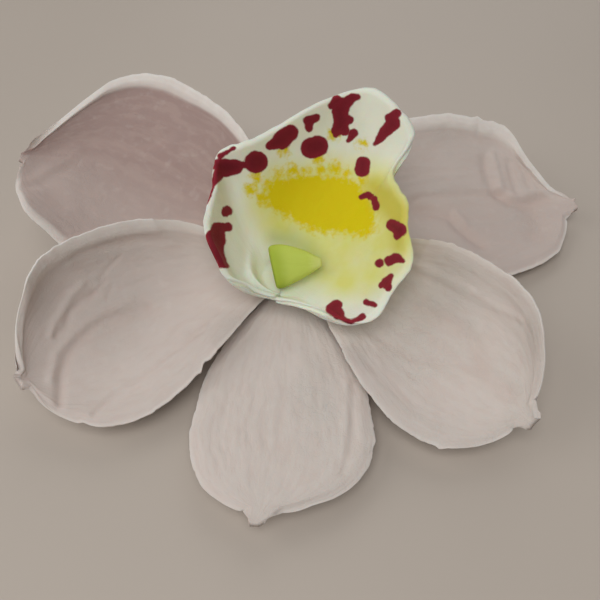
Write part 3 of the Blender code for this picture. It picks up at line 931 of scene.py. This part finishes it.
def new_powdery_group():
    """Dry sugar paste: mottled and streaked colour, pale rims, painted shade in grooves, and bumps to go with
    them.
    """
    group = bpy.data.node_groups.new("powdery paste", "ShaderNodeTree")
    face = group.interface
    for name in ("Colour", "Shade", "Grey", "Rim Colour"):
        face.new_socket(name, in_out="INPUT", socket_type="NodeSocketColor")
    for name in ("Rim", "Groove Shade", "Veins"):
        face.new_socket(name, in_out="INPUT", socket_type="NodeSocketFloat")
    face.new_socket("Streaks", in_out="INPUT", socket_type="NodeSocketVector")
    face.new_socket("Colour", in_out="OUTPUT", socket_type="NodeSocketColor")
    face.new_socket("Roughness", in_out="OUTPUT", socket_type="NodeSocketFloat")
    face.new_socket("Normal", in_out="OUTPUT", socket_type="NodeSocketVector")
    given = group.nodes.new("NodeGroupInput").outputs
    place = coordinates(group, "Object")
    cloud = grain(group, place, MOTTLE_SCALE, MORE_DETAIL)
    dust = grain(group, place, DUST_SCALE, LITTLE_DETAIL)
    chalk = grain(group, place, CHALK_SCALE, LITTLE_DETAIL)
    drift = put(group, "ShaderNodeTexNoise", {"Vector": place, "Scale": DRIFT_SCALE, "Detail": LITTLE_DETAIL})
    wobble = {0: drift.outputs["Color"], 1: (STREAK_WOBBLE,) * 3}
    shift = put(group, "ShaderNodeVectorMath", wobble, operation="MULTIPLY")
    wobbled = put(group, "ShaderNodeVectorMath", {0: given["Streaks"], 1: shift.outputs[0]}, operation="ADD")
    streak = grain(group, wobbled.outputs[0], 1.0, MORE_DETAIL)
    vein = maths(group, "MULTIPLY", spread(group, streak, *STREAK_SHOWS), given["Veins"])
    crumple = {"Vector": place, "Scale": CRINKLE_SCALE, "Detail": MORE_DETAIL, "Distortion": CRINKLE_TWIST}
    folds = put(group, "ShaderNodeTexNoise", crumple)
    line = maths(group, "ABSOLUTE", maths(group, "SUBTRACT", folds.outputs["Fac"], NOISE_MIDDLE), 0.0)
    crumpled = spread(group, line, *CRINKLE_LINE)
    crinkle = maths(group, "MULTIPLY", crumpled, spread(group, cloud, *CRINKLE_SHOWS))
    colour = mixed(group, spread(group, cloud, *GREY_SHOWS), given["Colour"], given["Grey"])
    colour = mixed(group, maths(group, "MULTIPLY", vein, VEIN_STAIN), colour, given["Shade"])
    # Painted shade: the grooves are darkened towards the shade colour
    colour = mixed(group, maths(group, "MULTIPLY", given["Groove Shade"], GROOVE_SHADE), colour, given["Shade"])
    speck = maths(group, "MULTIPLY", spread(group, dust, *DUST_SHOWS), DUST_SHARE)
    colour = mixed(group, speck, colour, given["Rim Colour"])
    # Pale rims: paler paste, and a painted highlight on the petals' raised bands
    pale = maths(group, "MULTIPLY", given["Rim"], maths(group, "ADD", dust, RIM_EVENNESS))
    colour = mixed(group, pale, colour, given["Rim Colour"])
    sunken = maths(group, "MULTIPLY", vein, VEIN_BUMP)
    coarse = maths(group, "ADD", sunken, maths(group, "MULTIPLY", crinkle, CRINKLE_BUMP))
    fine = maths(group, "MULTIPLY", chalk, CHALK_BUMP)
    height = maths(group, "ADD", coarse, maths(group, "ADD", fine, maths(group, "MULTIPLY", dust, DUST_BUMP)))
    bump = put(group, "ShaderNodeBump", {"Height": height, "Distance": BUMP_HEIGHT, "Strength": 1.0})
    rough = maths(group, "ADD", maths(group, "MULTIPLY", chalk, CHALK_ROUGHNESS), PASTE_ROUGHNESS)
    put(group, "NodeGroupOutput", {"Colour": colour, "Roughness": rough, "Normal": bump.outputs[0]})
    return group


def new_material(name):
    material = bpy.data.materials.new(name)
    material.use_nodes = True
    return material, material.node_tree, material.node_tree.nodes["Principled BSDF"]


def powdery(tree, group, inputs):
    return put(tree, "ShaderNodeGroup", inputs, node_tree=group).outputs


def finish_paste(tree, shader, colour, paste, depth=PASTE_DEPTH):
    """Sends colour and surface to the shader: dry paste that lets a little light in."""
    tree.links.new(colour, shader.inputs["Base Color"])
    tree.links.new(paste["Roughness"], shader.inputs["Roughness"])
    tree.links.new(paste["Normal"], shader.inputs["Normal"])
    shader.inputs["Specular IOR Level"].default_value = PASTE_SHINE
    shader.inputs["Subsurface Weight"].default_value = depth
    shader.inputs["Subsurface Radius"].default_value = PASTE_GLOW
    shader.inputs["Subsurface Scale"].default_value = PASTE_GLOW_SCALE


def new_blush_material(group):
    material, tree, shader = new_material("blush sugar paste")
    # Painted shade: pinker, darker paste where the pink shade share is high
    pink_shade = stored(tree, "pink_shade")
    body = mixed(tree, pink_shade, BLUSH, BLUSH_PINK_SHADE)
    cloudy = mixed(tree, pink_shade, BLUSH_GREY, BLUSH_PINK_SHADE)
    paste = powdery(tree, group, {
        "Colour": body, "Shade": BLUSH_SHADE, "Grey": cloudy, "Rim Colour": BLUSH_RIM, "Veins": PETAL_VEINS,
        "Rim": stored(tree, "rim"), "Groove Shade": stored(tree, "groove_shade"), "Streaks": streaks(tree, PETAL_STREAKS),
    })
    finish_paste(tree, shader, paste["Colour"], paste)
    return material


def new_pad_material(group):
    """The same paste for the pad underneath, which has no flat map of its own."""
    material, tree, shader = new_material("blush sugar paste pad")
    place = coordinates(tree, "Object")
    kneaded = put(tree, "ShaderNodeMapping", {"Vector": place, "Scale": PAD_STREAKS}).outputs[0]
    paste = powdery(tree, group, {
        "Colour": BLUSH, "Shade": BLUSH_SHADE, "Grey": BLUSH_GREY, "Rim Colour": BLUSH_RIM,
        "Veins": PAD_VEINS, "Rim": 0.0, "Groove Shade": 0.0, "Streaks": kneaded,
    })
    finish_paste(tree, shader, paste["Colour"], paste)
    return material


def new_lip_material(group):
    """Pale paste, painted over with yellow glow, powder and rim, then a painted green shadow and crimson
    spots.
    """
    material, tree, shader = new_material("spotted lip paste")
    place = coordinates(tree, "Object")
    paste = powdery(tree, group, {
        "Colour": LIP_PALE, "Shade": LIP_SHADE, "Grey": LIP_GREY, "Rim Colour": LIP_EDGE, "Veins": LIP_VEINS,
        "Rim": stored(tree, "rim"), "Groove Shade": 0.0, "Streaks": streaks(tree, LIP_STREAKS),
    })
    blur = grain(tree, place, GLOW_SCALE, LITTLE_DETAIL)
    powder_edge = scattered(tree, place, POWDER_SCALE, MOST_DETAIL, POWDER_SCATTER)
    spot_edge = scattered(tree, place, SPOT_SCALE, MORE_DETAIL, SPOT_SCATTER)
    glow = spread(tree, stored(tree, "glow"), -GLOW_SOFTNESS, 0.0)
    glow = maths(tree, "MULTIPLY", glow, maths(tree, "ADD", blur, GLOW_EVENNESS))
    colour = mixed(tree, glow, paste["Colour"], GLOW_YELLOW)
    powder = maths(tree, "ADD", stored(tree, "powder"), powder_edge)
    powder = spread(tree, powder, -POWDER_SOFTNESS, POWDER_SOFTNESS)
    colour = mixed(tree, powder, colour, POWDER_YELLOW)
    right = spread(tree, stored(tree, "rim yellow"), -RIM_YELLOW_SOFTNESS, RIM_YELLOW_SOFTNESS)
    colour = mixed(tree, right, colour, RIM_YELLOW_TONE)
    # Painted green shadow behind the column
    column_shadow = spread(tree, stored(tree, "column_shadow"), -COLUMN_SHADOW_SOFTNESS, COLUMN_SHADOW_SOFTNESS)
    colour = mixed(tree, maths(tree, "MULTIPLY", column_shadow, COLUMN_SHADOW_SHARE), colour, SHADOW_GREEN)
    depth = maths(tree, "ADD", stored(tree, "spot"), spot_edge)
    uneven = maths(tree, "MULTIPLY", spread(tree, depth, 0.0, SPOT_DEEP), blur)
    crimson = mixed(tree, uneven, CRIMSON, CRIMSON_DEEP)
    colour = mixed(tree, spread(tree, depth, -SPOT_SOFTNESS, SPOT_SOFTNESS), colour, crimson)
    finish_paste(tree, shader, colour, paste, LIP_DEPTH)
    return material


def new_column_material(group):
    material, tree, shader = new_material("lime column paste")
    flat = coordinates(tree, "UV")
    along = put(tree, "ShaderNodeSeparateXYZ", {"Vector": flat}).outputs["Y"]
    # Painted shade darkens the root, and the tip is paler
    body = mixed(tree, spread(tree, along, *COLUMN_ROOT_SHADE_FADES), LIME_DEEP, LIME)
    body = mixed(tree, spread(tree, along, *COLUMN_TIP_SHOWS), body, LIME_TIP)
    paste = powdery(tree, group, {
        "Colour": body, "Shade": LIME_DEEP, "Grey": LIME, "Rim Colour": LIME_TIP, "Veins": COLUMN_VEINS,
        "Rim": 0.0, "Groove Shade": 0.0, "Streaks": streaks(tree, COLUMN_STREAKS),
    })
    finish_paste(tree, shader, paste["Colour"], paste)
    return material


def new_floor():
    floor = new_plain("floor", "primitive_plane_add", size=FLOOR_SIZE)
    material, tree, shader = new_material("pale floor")
    place = coordinates(tree, "Object")
    tone = mixed(tree, grain(tree, place, FLOOR_SCALE, MORE_DETAIL), FLOOR_PALE, FLOOR_DIM)
    tree.links.new(tone, shader.inputs["Base Color"])
    shader.inputs["Roughness"].default_value = FLOOR_ROUGHNESS
    floor.data.materials.append(material)


def new_lights():
    world = bpy.data.worlds.new("even fill")
    bpy.context.scene.world = world
    world.use_nodes = True
    background = world.node_tree.nodes["Background"]
    background.inputs["Color"].default_value = (*FILL_COLOUR, 1.0)
    background.inputs["Strength"].default_value = FILL_STRENGTH
    for place, power in SOFTBOXES:
        bpy.ops.object.light_add(type="AREA", location=place)
        lamp = bpy.context.object
        lamp.rotation_euler = (Vector(SOFTBOX_AIM) - Vector(place)).to_track_quat("-Z", "Y").to_euler()
        lamp.data.size = SOFTBOX_SIDE
        lamp.data.energy = power
        lamp.data.color = SOFTBOX_COLOUR


def new_camera():
    bpy.ops.object.camera_add()
    camera = bpy.context.object
    tilt = Matrix.Rotation(math.radians(90 - CAMERA_PITCH), 4, "X")
    roll = Matrix.Rotation(math.radians(-CAMERA_ROLL), 4, "Z")
    camera.matrix_world = Matrix.Translation(Vector(CAMERA_AT) * MM) @ tilt @ roll
    camera.data.lens = CAMERA_LENS
    camera.data.sensor_width = SENSOR_WIDTH
    camera.data.clip_start = CLIP_START
    bpy.context.scene.camera = camera


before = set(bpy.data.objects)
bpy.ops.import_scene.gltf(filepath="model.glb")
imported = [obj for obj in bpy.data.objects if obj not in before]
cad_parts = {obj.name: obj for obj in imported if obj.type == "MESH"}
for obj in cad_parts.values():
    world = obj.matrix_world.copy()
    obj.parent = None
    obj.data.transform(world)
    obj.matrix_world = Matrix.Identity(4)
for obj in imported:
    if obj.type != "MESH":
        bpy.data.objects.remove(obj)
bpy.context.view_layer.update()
powdery_group = new_powdery_group()
blush = new_blush_material(powdery_group)
for petal_name, petal_seed in zip(PETALS, PETAL_SEEDS):
    new_petal(petal_name, petal_seed, blush)
new_lip(new_lip_material(powdery_group))
new_column(new_column_material(powdery_group))
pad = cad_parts["receptacle"]
pad.data.materials.clear()
pad.data.materials.append(new_pad_material(powdery_group))
new_floor()
new_lights()
new_camera()
bpy.context.scene.view_settings.view_transform = "Standard"
